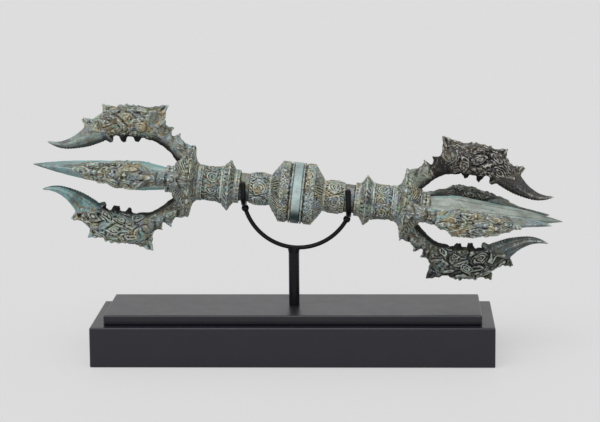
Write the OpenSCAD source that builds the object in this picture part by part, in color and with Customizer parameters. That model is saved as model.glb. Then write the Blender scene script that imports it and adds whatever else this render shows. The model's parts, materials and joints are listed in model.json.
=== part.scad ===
// A bronze dorje vajra with two five-pronged heads, lying in its fitted wire stand.
// Millimetres, +Z up, origin at the centre of the stand's underside, +X along the vajra.

/* [Base] */
// Length of the lower tier
plinth_l = 300; // [240:5:400]
// Depth of the lower tier, front to back
plinth_w = 100; // [70:2:140]
// Height of the lower tier
plinth_h = 30; // [24:1:45]
// Step in from the lower tier to the upper tier, all round
tier_step = 9.5; // [5:0.5:14]
// Height of the upper tier
tier_h = 7.4; // [6:0.2:12]
// Rounding of the edges of both tiers
edge_r = 1.2; // [0.6:0.1:1.8]
// Height of the plain foot under the upper tier's shadow groove
foot_h = 1.7; // [1.2:0.1:2.4]
// Height and depth of the shadow groove
shadow_groove = 0.8; // [0.4:0.1:1.2]

/* [Post] */
// Diameter of the post
post_d = 8; // [6.5:0.5:12]
// Height of the post's lower end above the floor
post_floor = 15.4; // [13:0.2:20]
// Height of the cradle arc's centre line over the post, above the base
arc_rise = 44.1; // [36:0.5:50]
// Diameter of the post screw's shank
screw_d = 5; // [3:0.5:5.5]
// Depth that the post screw reaches into the post
screw_grip = 12; // [6:1:20]
// Height of the recess for the screw's head and washer in the underside
recess_h = 9.4; // [7.5:0.1:11]
// Diameter of the post screw's head
screw_head_d = 8.5; // [7:0.5:10]
// Height of the post screw's head
screw_head_h = 3.5; // [2:0.5:5]
// Diameter of the washer under the screw head
washer_d = 12; // [11:0.5:16]
// Thickness of that washer
washer_t = 1.2; // [0.8:0.1:2]

/* [Cradle] */
// Diameter of the arc's wire
arc_wire_d = 3.2; // [2.6:0.1:5]
// Diameter of the saddles' wire
saddle_wire_d = 4; // [3:0.1:5]
// Gap between a saddle and the neck that lies in it
saddle_gap = 0.3; // [0.2:0.05:0.8]
// Height of the left saddle's arms above the vajra's axis
left_arm_rise = 4; // [1:0.5:8]
// Height of the right saddle's arms above the vajra's axis
right_arm_rise = 7; // [1:0.5:8]
// Width by which each weld bead stands out round its wire
weld_bead = 0.8; // [0.5:0.1:1.5]
// Gap between a weld bead under a saddle and the vajra
bead_gap = 0.6; // [0.4:0.05:1]

/* [Vajra] */
// Height of the vajra's centre above the base
axis_rise = 85.7; // [80:0.1:100]
// Distance of the vajra's centre from the post, to the right
axis_offset = 2.9; // [-6:0.1:6]
// Slope of the vajra's axis, falling to the right
tilt = 6.4; // [0:0.1:9]
// Turn of the left head about the axis
left_clock = 8; // [-20:0.1:20]
// Turn of the right head about the axis
right_clock = 3.5; // [-20:0.1:20]

/* [Handle] */
// Width of the smooth band round the globe
band_l = 7.4; // [5:0.2:12]
// Radius of the globe and its band
globe_r = 23.3; // [20:0.1:27]
// Length of each half of the globe beside the band
globe_l = 16.3; // [13:0.1:22]
// Width of the fillet ring and of the groove beside the band
fillet_w = 1.1; // [0.6:0.1:1.6]
// Depth of the groove beside the fillet ring
fillet_depth = 1.8; // [0.8:0.1:2.5]
// Radius of each neck at its ends
neck_r = 11.5; // [11:0.1:13]
// Swell of each neck at its middle
neck_swell = 0.9; // [0.4:0.1:2]
// Length of each neck between the globe and the saddle groove
neck_l = 15.7; // [12:0.1:22]
// Number of lotus petals round each neck
petals = 6; // [4:1:8]
// Radius of each neck petal
petal_r = 5.2; // [2.5:0.1:5.5]
// Height of each neck petal
petal_h = 0.5; // [0.3:0.1:1.2]
// Radius of the groove that lies in a saddle
groove_r = 10.6; // [9:0.1:11]
// Free room for a saddle's wire along the groove, on each side
groove_room = 0.35; // [0.2:0.05:1]
// Radius of the step between the groove and the collar
step_r = 12.7; // [11.5:0.1:13.4]
// Length of that step
step_l = 3.6; // [2:0.1:6]
// Radius of the collar's sharp rim
collar_r = 19.4; // [16:0.1:23]
// Length of the collar
collar_l = 9; // [7:0.1:13]
// Radius of the drum beyond the collar
drum_r = 13.5; // [12.5:0.1:15]
// Length of the drum
drum_l = 18; // [12:0.1:26]
// Radius of the bead at the drum's foot
bead_r = 1.1; // [0.7:0.1:1.4]
// Diameter of the rod through the handle
rod_d = 10; // [8:0.1:11]
// Diameter of the rod's ends, in the spikes
rod_end_d = 6; // [4:0.1:7]
// Reach of each rod end into its spike
rod_end_l = 18; // [10:0.5:24]
// Radial running clearance round the rod
rod_gap = 0.05; // [0.03:0.01:0.1]

/* [Crowns] */
// Radius of each crown's petalled rim
crown_r = 27.7; // [25:0.1:31]
// Height of the flare from the drum to the rim
flare_h = 5.7; // [4:0.1:8]
// Thickness of the rim
rim_t = 1.3; // [0.8:0.1:3]
// Length of each crown
crown_l = 19.5; // [17:0.1:24]
// Radius of the crown's front face
hub_r = 12.5; // [11.5:0.1:14]
// Number of petals round the rim
crown_petals = 8; // [8:4:16]
// Radius of the notch between two rim petals
notch_r = 1.6; // [0.6:0.1:2]
// Radius of the ring round the spike's foot
ring_r = 10.5; // [9:0.1:11.2]
// Length of that ring
ring_l = 6; // [4:0.1:9]

/* [Prongs and spikes] */
// Reach of each prong along the axis, from its seat to its tip
prong_l = 104; // [92:0.5:112]
// Distance that each prong bows out from its seat
prong_bow = 20.4; // [17:0.1:24]
// Thickness of a prong's head, from inside to outside
head_t = 25; // [20:0.1:27]
// Width of a prong's head across
head_w = 20.4; // [16:0.1:25]
// Width of the square tenon at a prong's foot
tenon_w = 7; // [4:0.1:8]
// Length of that tenon
tenon_l = 8; // [5:0.1:9]
// Rounding of a prong's fins at their feet
fin_foot_r = 1.9; // [1.4:0.1:2.4]
// Rounding of a prong's fins at their points
fin_point_r = 0.6; // [0.4:0.1:1]
// Rounding of a prong's inner teeth at their feet
tooth_foot_r = 2.8; // [2:0.1:3.4]
// Rounding of a prong's inner teeth at their points
tooth_point_r = 2; // [1.2:0.1:2.6]
// Height of the carved forms on the flanks of a prong's head
flank_h = 1.1; // [0.6:0.1:1.5]
// Length of each spike beyond its ring
spike_l = 100.5; // [88:0.5:130]
// Half the spike's width across its ridges, at its widest
spike_r = 11.3; // [9.5:0.1:13]
// Radius of the spike's round foot
spike_foot_r = 6.8; // [5.5:0.1:7.5]
// Half the width of the spike's blunt point
spike_point_r = 0.5; // [0.3:0.1:1]

/* [Fits] */
// Gap round a piece that is set in another, such as a prong's tenon or the post's foot
fit_gap = 0.1; // [0.05:0.01:0.2]

/* [Hidden] */
$fn = 96;

// Stations along a prong, from the seat to the tip. Each has its place along the prong, its bow,
// its thickness and its width, as shares of prong_l, prong_bow, head_t and head_w.
STATIONS = [
    [-0.02, -0.08, 0.69, 0.72],
    [0.065, 0.22, 0.56, 0.60],
    [0.142, 0.46, 0.48, 0.55],
    [0.215, 0.74, 0.75, 0.66],
    [0.306, 0.97, 0.98, 0.98],
    [0.402, 1.00, 1.00, 0.96],
    [0.488, 0.95, 0.98, 0.81],
    [0.575, 0.76, 0.80, 0.68],
    [0.652, 0.46, 0.73, 0.57],
    [0.724, 0.18, 0.57, 0.43],
    [0.796, -0.02, 0.40, 0.33],
    [0.873, -0.15, 0.27, 0.27],
    [0.94, -0.16, 0.15, 0.17],
    [1.00, -0.10, 0.04, 0.05],
];
// Fins of a prong, from the seat to the tip: two places at the foot and one at the point. Each is
// a station and a share of the half thickness there, out from the prong's middle line.
FINS = [
    [[1.0, 0.72], [1.6, 0.70], [1.4, 1.56]],
    [[2.0, 0.70], [2.6, 0.72], [2.3, 1.42]],
    [[3.0, 0.72], [4.4, 0.80], [3.45, 1.80]],
    [[6.1, 0.82], [7.0, 0.76], [6.8, 1.46]],
    [[7.7, 0.80], [8.5, 0.74], [8.35, 1.58]],
];
// Small teeth along the inside of a prong's head, each a station and a share as above.
TEETH = [[4.45, -1.10], [6.0, -1.19], [7.5, -1.14]];
// Carved forms on both flanks of a prong's head: the brow, the eye, the lip's rim and the curl at the
// jaw's corner. Each is two places as above and the rounding round them, as a share of head_t.
FLANKS = [
    [[4.4, 0.58], [6.3, 0.56], 0.085],
    [[5.2, 0.12], [5.5, 0.12], 0.13],
    [[7.2, -0.46], [8.3, 0.34], 0.07],
    [[4.1, -0.36], [4.3, -0.36], 0.16],
];
// Places along the spike beyond its ring, with half the width there, as shares of its length and
// of spike_r.
SPIKE = [[0, 0.76], [0.1, 0.89], [0.195, 1], [0.31, 0.9], [0.46, 0.76], [0.7, 0.53], [0.87, 0.28]];
// Roundness of a prong's section: 2 is an ellipse, and more is squarer
SECTION_POWER = 2.4;
SECTION_SIDES = 12;
STEPS_PER_STATION = 2;
// Half the spread of a fin's foot across the prong, as a share of half the width there
FIN_SPREAD = 0.35;
BALL_FN = 6;
FLARE_STEPS = 6;
SWELL_STEPS = 6;
EPS = 0.01;
// Distance that a cut runs past the face it goes through
CUT = 1;

// The stand, from the floor up
base_h = plinth_h + tier_h;
washer_z = recess_h - washer_t;
recess_d = washer_d + 1;
screw_hole_d = screw_d + 2 * fit_gap;
post_hole_d = post_d + 2 * fit_gap;
arc_z = base_h + arc_rise;
centre = [axis_offset, 0, base_h + axis_rise];

// The saddles and the arc that carries them
saddle_r = groove_r + saddle_gap + saddle_wire_d / 2;
saddle_run = saddle_r * sin(tilt);
arm_run = max(left_arm_rise, right_arm_rise) * sin(tilt);
groove_l = saddle_wire_d + saddle_run + 2 * (arm_run + groove_room);

// Places along the handle, out from the vajra's centre
globe_z = band_l / 2;
neck_z = globe_z + globe_l;
groove_z = neck_z + neck_l;
step_z = groove_z + groove_l;
collar_z = step_z + step_l;
drum_z = collar_z + collar_l;
crown_z = drum_z + drum_l;
ring_z = crown_z + crown_l;
spike_z = ring_z + ring_l;
bore_r = rod_d / 2 + rod_gap;
end_bore_r = rod_end_d / 2 + rod_gap;
foot_bore_r = spike_foot_r + fit_gap;

// The crown's sloping front, and the middle of it, where a prong is seated
slope_z = flare_h + rim_t;
slope_run = crown_l - slope_z;
slope_fall = crown_r - hub_r;
slope_angle = atan2(slope_run, slope_fall);
seat = [crown_z + slope_z + slope_run / 2, hub_r + slope_fall / 2];

saddle_s = groove_z + groove_l / 2;
left_x = centre.x - (saddle_s + saddle_run / 2) * cos(tilt);
right_x = centre.x + (saddle_s - saddle_run / 2) * cos(tilt);
function axis_height(x) = centre.z - (x - centre.x) * tan(tilt);
left_foot = [left_x, axis_height(left_x) - saddle_r];
right_foot = [right_x, axis_height(right_x) - saddle_r];
post_head = [0, arc_z];

// The middle of the circle through three points of a plane
function circle_centre(a, b, c) =
    let (ab = b - a, ac = c - a, d = 2 * (ab.x * ac.y - ab.y * ac.x))
    a + [ac.y * (ab * ab) - ab.y * (ac * ac), ab.x * (ac * ac) - ac.x * (ab * ab)] / d;
arc_mid = circle_centre(left_foot, post_head, right_foot);
arc_r = norm(left_foot - arc_mid);
function bearing(p) = atan2(p.y - arc_mid.y, p.x - arc_mid.x);
// A point of the arc, a distance along it from another
function along_arc(p, run) =
    let (a = bearing(p) + run / arc_r * 180 / PI)
    arc_mid + arc_r * [cos(a), sin(a)];
// The weld beads sit on the arc just under the saddles, clear of the widest turned face there
bead_ball_r = saddle_wire_d / 2 + weld_bead;
bead_run = bead_ball_r + max(step_r, neck_r + neck_swell) + bead_gap - saddle_r;

BLACK = "#26262b";
STEEL = "#9a9a9a";
BRONZE = "#7d8478";
DARK_BRONZE = "#4c4a40";
TEAL = "#8fa9a8";

// A smooth value between the rows of a table, at a station that need not be whole
function row(table, i) = table[max(0, min(len(table) - 1, i))];
function between(table, t) =
    let (i = min(floor(t), len(table) - 2), f = t - i)
    let (a = row(table, i - 1), b = row(table, i), c = row(table, i + 1), d = row(table, i + 2))
    b + (c - a) * f / 2 + (2 * a - 5 * b + 4 * c - d) * f * f / 2
        + (3 * b - a - 3 * c + d) * f * f * f / 2;

// The middle line of a prong at a station: its distance along the axis and from the axis
function spine(t) =
    let (s = between(STATIONS, t))
    [seat.x + s[0] * prong_l, seat.y + s[1] * prong_bow];
// The direction square to the middle line, out from the axis
function outward(t) =
    let (d = spine(t + EPS) - spine(t - EPS))
    [-d.y, d.x] / norm(d);
function half_thick(t) = between(STATIONS, t)[2] * head_t / 2;
function half_wide(t) = between(STATIONS, t)[3] * head_w / 2;
// A point of the prong's middle plane, at a share of the half thickness out from the middle line
function prong_point(t, out) = spine(t) + outward(t) * half_thick(t) * out;

// How far the prong's flank lies from its middle plane, as a share of the half width, at a share of
// the half thickness
function flank_share(out) = pow(1 - pow(abs(out), SECTION_POWER), 1 / SECTION_POWER);
function rounded_power(v) = sign(v) * pow(abs(v), 2 / SECTION_POWER);
function section(t) = [
    for (k = [0 : SECTION_SIDES - 1])
        let (a = 360 * k / SECTION_SIDES)
        let (p = prong_point(t, rounded_power(sin(a))))
        [p.y, half_wide(t) * rounded_power(cos(a)), p.x]
];

// The end of one half of the vajra points along +Z inside these two
module right_half() {
    translate(centre) rotate([0, 90 + tilt, 0]) children();
}
module left_half() {
    translate(centre) rotate([0, tilt - 90, 0]) children();
}

// A turned piece from its profile of distance along the axis and radius
module turned(profile) {
    rotate_extrude() polygon([for (p = profile) [p[1], p[0]]]);
}

// A slab with all its edges rounded
module rounded_rect(a, b) {
    square([a - 2 * edge_r, b], center = true);
    square([a, b - 2 * edge_r], center = true);
    for (x = [-1, 1], y = [-1, 1])
        translate([x * (a / 2 - edge_r), y * (b / 2 - edge_r)]) circle(edge_r);
}
module slab(l, w, h) {
    intersection() {
        translate([0, 0, -EPS]) linear_extrude(h + 2 * EPS) rounded_rect(l, w);
        translate([0, 0, h / 2]) rotate([90, 0, 0])
            linear_extrude(w + 2 * EPS, center = true) rounded_rect(l, h);
        translate([0, 0, h / 2]) rotate([90, 0, 90])
            linear_extrude(l + 2 * EPS, center = true) rounded_rect(w, h);
    }
}

// Base
module base_plinth() {
    color(BLACK) difference() {
        slab(plinth_l, plinth_w, plinth_h);
        translate([0, 0, post_floor]) cylinder(h = plinth_h, d = post_hole_d);
        translate([0, 0, -EPS]) cylinder(h = plinth_h, d = screw_hole_d);
        translate([0, 0, -EPS]) cylinder(h = recess_h + EPS, d = recess_d);
    }
}
module base_top() {
    top_l = plinth_l - 2 * tier_step;
    top_w = plinth_w - 2 * tier_step;
    color(BLACK) difference() {
        translate([0, 0, plinth_h]) slab(top_l, top_w, tier_h);
        translate([0, 0, plinth_h + foot_h]) linear_extrude(shadow_groove) difference() {
            square([top_l + CUT, top_w + CUT], center = true);
            square([top_l - 2 * shadow_groove, top_w - 2 * shadow_groove], center = true);
        }
        translate([0, 0, plinth_h - CUT]) cylinder(h = tier_h + 2 * CUT, d = post_hole_d);
    }
}

// Post and its fastening
module post() {
    color(BLACK) difference() {
        translate([0, 0, post_floor]) cylinder(h = arc_z - post_floor, d = post_d);
        arc_wire(360);
        translate([0, 0, post_floor - EPS]) cylinder(h = screw_grip + CUT, d = screw_hole_d);
    }
}
module post_screw() {
    color(STEEL) {
        translate([0, 0, washer_z]) cylinder(h = post_floor + screw_grip - washer_z, d = screw_d);
        translate([0, 0, washer_z - screw_head_h]) cylinder(h = screw_head_h, d = screw_head_d);
    }
}
module post_washer() {
    color(STEEL) translate([0, 0, washer_z]) difference() {
        cylinder(h = washer_t, d = washer_d);
        translate([0, 0, -CUT]) cylinder(h = washer_t + 2 * CUT, d = screw_hole_d);
    }
}

// The arc's wire in the plane of the post and the vajra, from the left saddle's foot round by
// the given angle
module arc_wire(sweep) {
    translate([arc_mid.x, 0, arc_mid.y]) rotate([90, 0, 0])
        rotate([0, 0, bearing(left_foot)])
            rotate_extrude(angle = sweep) translate([arc_r, 0]) circle(d = arc_wire_d);
}
// A saddle's wire: half a ring under the neck and two straight arms with round ends
module saddle_wire(x, rise) {
    translate([x, 0, axis_height(x)]) {
        rotate([90, 0, 90]) rotate([0, 0, 180])
            rotate_extrude(angle = 180) translate([saddle_r, 0]) circle(d = saddle_wire_d);
        for (side = [-1, 1]) translate([0, side * saddle_r, 0]) {
            cylinder(h = rise, d = saddle_wire_d);
            translate([0, 0, rise]) sphere(d = saddle_wire_d);
        }
    }
}
module cradle_arc() {
    sweep = bearing(right_foot) - bearing(left_foot) + 360;
    color(BLACK) difference() {
        arc_wire(sweep % 360);
        saddle_wire(left_x, left_arm_rise);
        saddle_wire(right_x, right_arm_rise);
    }
}
module saddle_left() {
    color(BLACK) saddle_wire(left_x, left_arm_rise);
}
module saddle_right() {
    color(BLACK) saddle_wire(right_x, right_arm_rise);
}

// The beads of weld under the two saddles and round the post's head
module weld_beads() {
    color(BLACK) {
        for (p = [along_arc(left_foot, bead_run), along_arc(right_foot, -bead_run)]) difference() {
            translate([p.x, 0, p.y]) sphere(bead_ball_r);
            arc_wire(360);
            saddle_wire(left_x, left_arm_rise);
            saddle_wire(right_x, right_arm_rise);
        }
        difference() {
            translate([0, 0, arc_z - post_d / 2])
                cylinder(h = post_d / 2, d1 = post_d, d2 = post_d + 2 * weld_bead);
            translate([0, 0, arc_z - post_d]) cylinder(h = 2 * post_d, d = post_d);
            arc_wire(360);
        }
    }
}

// Handle, from the middle outwards
module core_rod() {
    color(DARK_BRONZE) right_half() {
        cylinder(h = 2 * ring_z, d = rod_d, center = true);
        cylinder(h = 2 * (ring_z + rod_end_l), d = rod_end_d, center = true);
    }
}
module globe_band() {
    color(TEAL) right_half() turned([
        [-globe_z, bore_r], [-globe_z, globe_r - fillet_depth],
        [-globe_z + fillet_w / 2, globe_r - fillet_depth], [-globe_z + fillet_w / 2, globe_r],
        [globe_z - fillet_w / 2, globe_r], [globe_z - fillet_w / 2, globe_r - fillet_depth],
        [globe_z, globe_r - fillet_depth], [globe_z, bore_r],
    ]);
}
// Half a globe: a fillet ring and a groove, a bulging lobe, and a cone down to the neck
module globe_half() {
    lobe_z = globe_z + 2 * fillet_w;
    lobe_l = (globe_l - 2 * fillet_w) / 2;
    turned(concat(
        [[globe_z, bore_r], [globe_z, globe_r], [globe_z + fillet_w, globe_r],
         [globe_z + fillet_w, globe_r - fillet_depth]],
        [for (i = [0 : SWELL_STEPS])
            let (a = 160 * i / SWELL_STEPS)
            [lobe_z + lobe_l * (1 - cos(a)) / 2, globe_r - fillet_depth * (1 - sin(a))]],
        [[neck_z, neck_r], [neck_z, bore_r]]
    ));
}
module globe_left() { color(BRONZE) left_half() globe_half(); }
module globe_right() { color(BRONZE) right_half() globe_half(); }

// The neck's swelling barrel, and a skin of it a little further out for its petals
function barrel(extra) = [
    for (i = [0 : SWELL_STEPS])
        [neck_z + neck_l * i / SWELL_STEPS,
         neck_r + extra + neck_swell * sin(180 * i / SWELL_STEPS)]
];
module neck() {
    difference() {
        union() {
            turned(concat(
                [[neck_z, 0]], barrel(0),
                [[groove_z, groove_r], [step_z, groove_r], [step_z, step_r],
                 [collar_z, step_r], [collar_z, 0]]
            ));
            for (k = [0 : petals - 1]) intersection() {
                turned(concat([[neck_z, 0]], barrel(petal_h), [[groove_z, 0]]));
                rotate([0, 0, 360 * (k + 0.5) / petals]) translate([0, 0, neck_z + neck_l / 2])
                    rotate([0, 90, 0]) cylinder(h = globe_r, r = petal_r);
            }
        }
        translate([0, 0, neck_z - CUT]) cylinder(h = collar_z - neck_z + 2 * CUT, r = bore_r);
    }
}
module neck_left() { color(BRONZE) left_half() neck(); }
module neck_right() { color(BRONZE) right_half() neck(); }

// The collar rises to a sharp rim in a hollow sweep and falls away in a straight one
module collar() {
    rim_z = collar_z + collar_l / 2;
    foot_r = drum_r + bead_r;
    turned(concat(
        [[collar_z, bore_r]],
        [for (i = [0 : FLARE_STEPS])
            let (f = i / FLARE_STEPS)
            [collar_z + (rim_z - collar_z) * f, step_r + (collar_r - step_r) * pow(f, 1.5)]],
        [[drum_z, foot_r], [drum_z, bore_r]]
    ));
}
module collar_left() { color(BRONZE) left_half() collar(); }
module collar_right() { color(BRONZE) right_half() collar(); }

// The drum has a bead at its foot and a slight waist
module drum() {
    difference() {
        turned(concat(
            [[drum_z, 0]],
            [for (a = [0 : 30 : 180])
                [drum_z + bead_r * (1 - cos(a)), drum_r + bead_r * sin(a)]],
            [for (i = [1 : SWELL_STEPS])
                let (f = i / SWELL_STEPS)
                [drum_z + 2 * bead_r + (drum_l - 2 * bead_r) * f,
                 drum_r - bead_r / 2 * sin(180 * f)]],
            [[crown_z, 0]]
        ));
        translate([0, 0, drum_z - CUT]) cylinder(h = drum_l + 2 * CUT, r = bore_r);
    }
}
module drum_left() { color(BRONZE) left_half() drum(); }
module drum_right() { color(BRONZE) right_half() drum(); }

// A square tenon in the middle of the crown's sloping front and square to it, or, with a gap
// all round, the mortise for one. It starts a little way out from the slope.
module tenon(gap) {
    w = tenon_w + 2 * gap;
    translate([seat.y, 0, seat.x]) rotate([0, slope_angle, 0])
        translate([-w / 2, -w / 2, -tenon_l - gap]) cube([w, w, tenon_l + gap + tenon_w / 2]);
}
// The crown flares to a rim of petals, and its sloping front has four mortises
module crown() {
    difference() {
        turned(concat(
            [[crown_z, 0]],
            [for (i = [0 : FLARE_STEPS])
                let (a = 90 * i / FLARE_STEPS)
                [crown_z + flare_h * sin(a), drum_r + (crown_r - drum_r) * (1 - cos(a))]],
            [[crown_z + slope_z, crown_r], [ring_z, hub_r], [ring_z, 0]]
        ));
        translate([0, 0, crown_z - CUT]) cylinder(h = crown_l + 2 * CUT, r = bore_r);
        for (k = [0 : crown_petals - 1]) rotate([0, 0, 360 * (k + 0.5) / crown_petals])
            translate([crown_r + notch_r / 2, 0, crown_z]) cylinder(h = crown_l, r = notch_r);
        for (turn = [0 : 90 : 270]) rotate([0, 0, turn]) tenon(fit_gap);
    }
}
module crown_left() { color(BRONZE) left_half() rotate([0, 0, left_clock]) crown(); }
module crown_right() { color(BRONZE) right_half() rotate([0, 0, right_clock]) crown(); }

// The ring round the spike's foot is two beads
module ring() {
    bead = ring_l / 4;
    turned(concat(
        [[ring_z, foot_bore_r]],
        [for (side = [1, 3], a = [0 : 30 : 180])
            [ring_z + bead * (side - cos(a)), ring_r - bead * (1 - sin(a))]],
        [[spike_z, foot_bore_r]]
    ));
}
module ring_left() { color(BRONZE) left_half() ring(); }
module ring_right() { color(BRONZE) right_half() ring(); }

// The spike is four-sided, with a round foot in the ring and a blind bore for the rod's end
module spike() {
    blade = [for (p = SPIKE) [p[1] * spike_r, spike_z + p[0] * spike_l]];
    difference() {
        union() {
            translate([0, 0, ring_z]) cylinder(h = ring_l + CUT, r = spike_foot_r);
            rotate_extrude($fn = 4) polygon(concat(
                [[0, spike_z]], blade,
                [[spike_point_r, spike_z + spike_l], [0, spike_z + spike_l]]
            ));
        }
        translate([0, 0, ring_z - CUT]) cylinder(h = rod_end_l + 2 * CUT, r = end_bore_r);
    }
}
module spike_left() { color(TEAL) left_half() rotate([0, 0, left_clock]) spike(); }
module spike_right() { color(TEAL) right_half() rotate([0, 0, right_clock]) spike(); }

// The prong's body is a skin over sections along its middle line
module prong_body() {
    last = (len(STATIONS) - 1) * STEPS_PER_STATION;
    n = SECTION_SIDES;
    points = [for (i = [0 : last]) each section(i / STEPS_PER_STATION)];
    sides = [
        for (i = [0 : last - 1], k = [0 : n - 1])
            let (a = i * n + k, b = i * n + (k + 1) % n)
            each [[a, b, b + n], [a, b + n, a + n]]
    ];
    foot = [for (k = [n - 1 : -1 : 0]) k];
    tip = [for (k = [0 : n - 1]) last * n + k];
    polyhedron(points, concat([foot], sides, [tip]));
}
module prong_ball(place, r, across = 0) {
    p = prong_point(place[0], place[1]);
    translate([p.y, across * half_wide(place[0]), p.x]) sphere(r, $fn = BALL_FN);
}
// A ball on the flank at one side, that stands out from it by flank_h
module flank_ball(place, r, side) {
    sunk = (r - flank_h) / half_wide(place[0]);
    prong_ball(place, r, side * (flank_share(place[1]) - sunk));
}
// A prong stands in the plane of +X and +Z, with its foot cut to the crown's slope
module prong() {
    difference() {
        union() {
            prong_body();
            for (f = FINS) hull() {
                for (across = [-FIN_SPREAD, FIN_SPREAD]) {
                    prong_ball(f[0], fin_foot_r, across);
                    prong_ball(f[1], fin_foot_r, across);
                }
                prong_ball(f[2], fin_point_r);
            }
            for (t = TEETH) hull() {
                prong_ball([t[0], t[1] / 2], tooth_foot_r);
                prong_ball(t, tooth_point_r);
            }
            for (f = FLANKS, side = [-1, 1]) hull() {
                flank_ball(f[0], f[2] * head_t, side);
                flank_ball(f[1], f[2] * head_t, side);
            }
        }
        turned([
            [crown_z - drum_l, 0], [crown_z - drum_l, crown_r + fit_gap],
            [crown_z + slope_z, crown_r + fit_gap], [ring_z, hub_r + fit_gap], [ring_z, 0],
        ]);
    }
    tenon(0);
}
module left_prong(turn) {
    color(BRONZE) left_half() rotate([0, 0, left_clock + turn]) prong();
}
module right_prong(turn, shade) {
    color(shade) right_half() rotate([0, 0, right_clock + turn]) prong();
}
module prong_left_top() { left_prong(0); }
module prong_left_front() { left_prong(-90); }
module prong_left_bottom() { left_prong(180); }
module prong_left_back() { left_prong(90); }
module prong_right_top() { right_prong(180, DARK_BRONZE); }
module prong_right_front() { right_prong(-90, BRONZE); }
module prong_right_bottom() { right_prong(0, BRONZE); }
module prong_right_back() { right_prong(90, BRONZE); }

base_plinth();
base_top();
post();
post_screw();
post_washer();
cradle_arc();
saddle_left();
saddle_right();
weld_beads();
core_rod();
globe_band();
globe_left();
globe_right();
neck_left();
neck_right();
collar_left();
collar_right();
drum_left();
drum_right();
crown_left();
crown_right();
ring_left();
ring_right();
spike_left();
spike_right();
prong_left_top();
prong_left_front();
prong_left_bottom();
prong_left_back();
prong_right_top();
prong_right_front();
prong_right_bottom();
prong_right_back();
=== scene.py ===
"""The looks of a bronze dorje vajra in its wire stand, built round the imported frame.

Shapes are worked out in millimetres, in the frame of one half of the vajra, where the half's outer
end points along +Z. They are moved into the frame's metres as they are added.
"""
import json
import math

import bpy
import numpy as np
from mathutils import Matrix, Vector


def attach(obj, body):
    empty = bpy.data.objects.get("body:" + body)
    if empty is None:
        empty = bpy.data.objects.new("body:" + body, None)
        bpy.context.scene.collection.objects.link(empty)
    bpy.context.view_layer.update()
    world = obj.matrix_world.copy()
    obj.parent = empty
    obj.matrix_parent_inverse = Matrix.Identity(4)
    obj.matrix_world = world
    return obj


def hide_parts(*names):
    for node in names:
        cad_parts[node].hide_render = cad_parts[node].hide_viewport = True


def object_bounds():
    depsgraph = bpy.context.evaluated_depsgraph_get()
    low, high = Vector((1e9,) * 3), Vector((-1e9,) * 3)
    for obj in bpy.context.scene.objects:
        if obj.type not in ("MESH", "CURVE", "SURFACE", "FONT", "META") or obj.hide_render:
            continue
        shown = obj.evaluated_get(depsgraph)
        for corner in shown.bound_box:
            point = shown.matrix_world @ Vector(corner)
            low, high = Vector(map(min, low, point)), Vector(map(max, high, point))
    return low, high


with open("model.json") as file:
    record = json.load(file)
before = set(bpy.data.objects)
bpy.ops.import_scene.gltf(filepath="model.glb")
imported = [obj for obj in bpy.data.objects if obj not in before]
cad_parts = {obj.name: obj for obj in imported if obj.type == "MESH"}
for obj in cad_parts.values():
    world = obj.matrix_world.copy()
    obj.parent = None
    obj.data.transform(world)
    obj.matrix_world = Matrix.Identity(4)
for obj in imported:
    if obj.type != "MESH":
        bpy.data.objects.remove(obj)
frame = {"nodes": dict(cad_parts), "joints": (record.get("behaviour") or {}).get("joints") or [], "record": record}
cad_box = [list(corner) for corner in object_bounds()]
scene = bpy.context.scene

TAU = 2 * math.pi
MM = 0.001

# The vajra's centre and slope, from the joint that it rolls on
roll = next(j for j in frame["joints"] if j["name"] == "vajra_roll")
CENTRE = np.array(roll["pos_m"]) / MM
TILT = math.atan2(-roll["axis"][2], roll["axis"][0])
CLOCK = {"left": math.radians(8), "right": math.radians(3.5)}

# Sizes of the handle, in millimetres, as the solids have them
BORE_R = 5.05
FILLET_W = 1.1
FILLET_DEPTH = 1.8
NECK_R = 11.5
NECK_L = 15.7
NECK_SWELL = 0.9
GROOVE_R = 10.6
STEP_R = 12.7
STEP_L = 3.6
DRUM_R = 13.5
BEAD_R = 1.1
FLARE_H = 5.7
RIM_T = 1.3
HUB_R = 12.5
FOOT_BORE_R = 6.9

# Sizes of the prongs, in millimetres, as the solids have them
PRONG_L = 104
PRONG_BOW = 20.4
HEAD_T = 25
HEAD_W = 20.4
# Place along a prong, bow, thickness and width, as shares of the four sizes above
STATIONS = np.array([
    [-0.02, -0.08, 0.69, 0.72],
    [0.065, 0.22, 0.56, 0.60],
    [0.142, 0.46, 0.48, 0.55],
    [0.215, 0.74, 0.75, 0.66],
    [0.306, 0.97, 0.98, 0.98],
    [0.402, 1.00, 1.00, 0.96],
    [0.488, 0.95, 0.98, 0.81],
    [0.575, 0.76, 0.80, 0.68],
    [0.652, 0.46, 0.73, 0.57],
    [0.724, 0.18, 0.57, 0.43],
    [0.796, -0.02, 0.40, 0.33],
    [0.873, -0.15, 0.27, 0.27],
    [0.94, -0.16, 0.15, 0.17],
    [1.00, -0.10, 0.04, 0.05],
])
SECTION_POWER = 2.4
CLAW_POWER = 1.3
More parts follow.
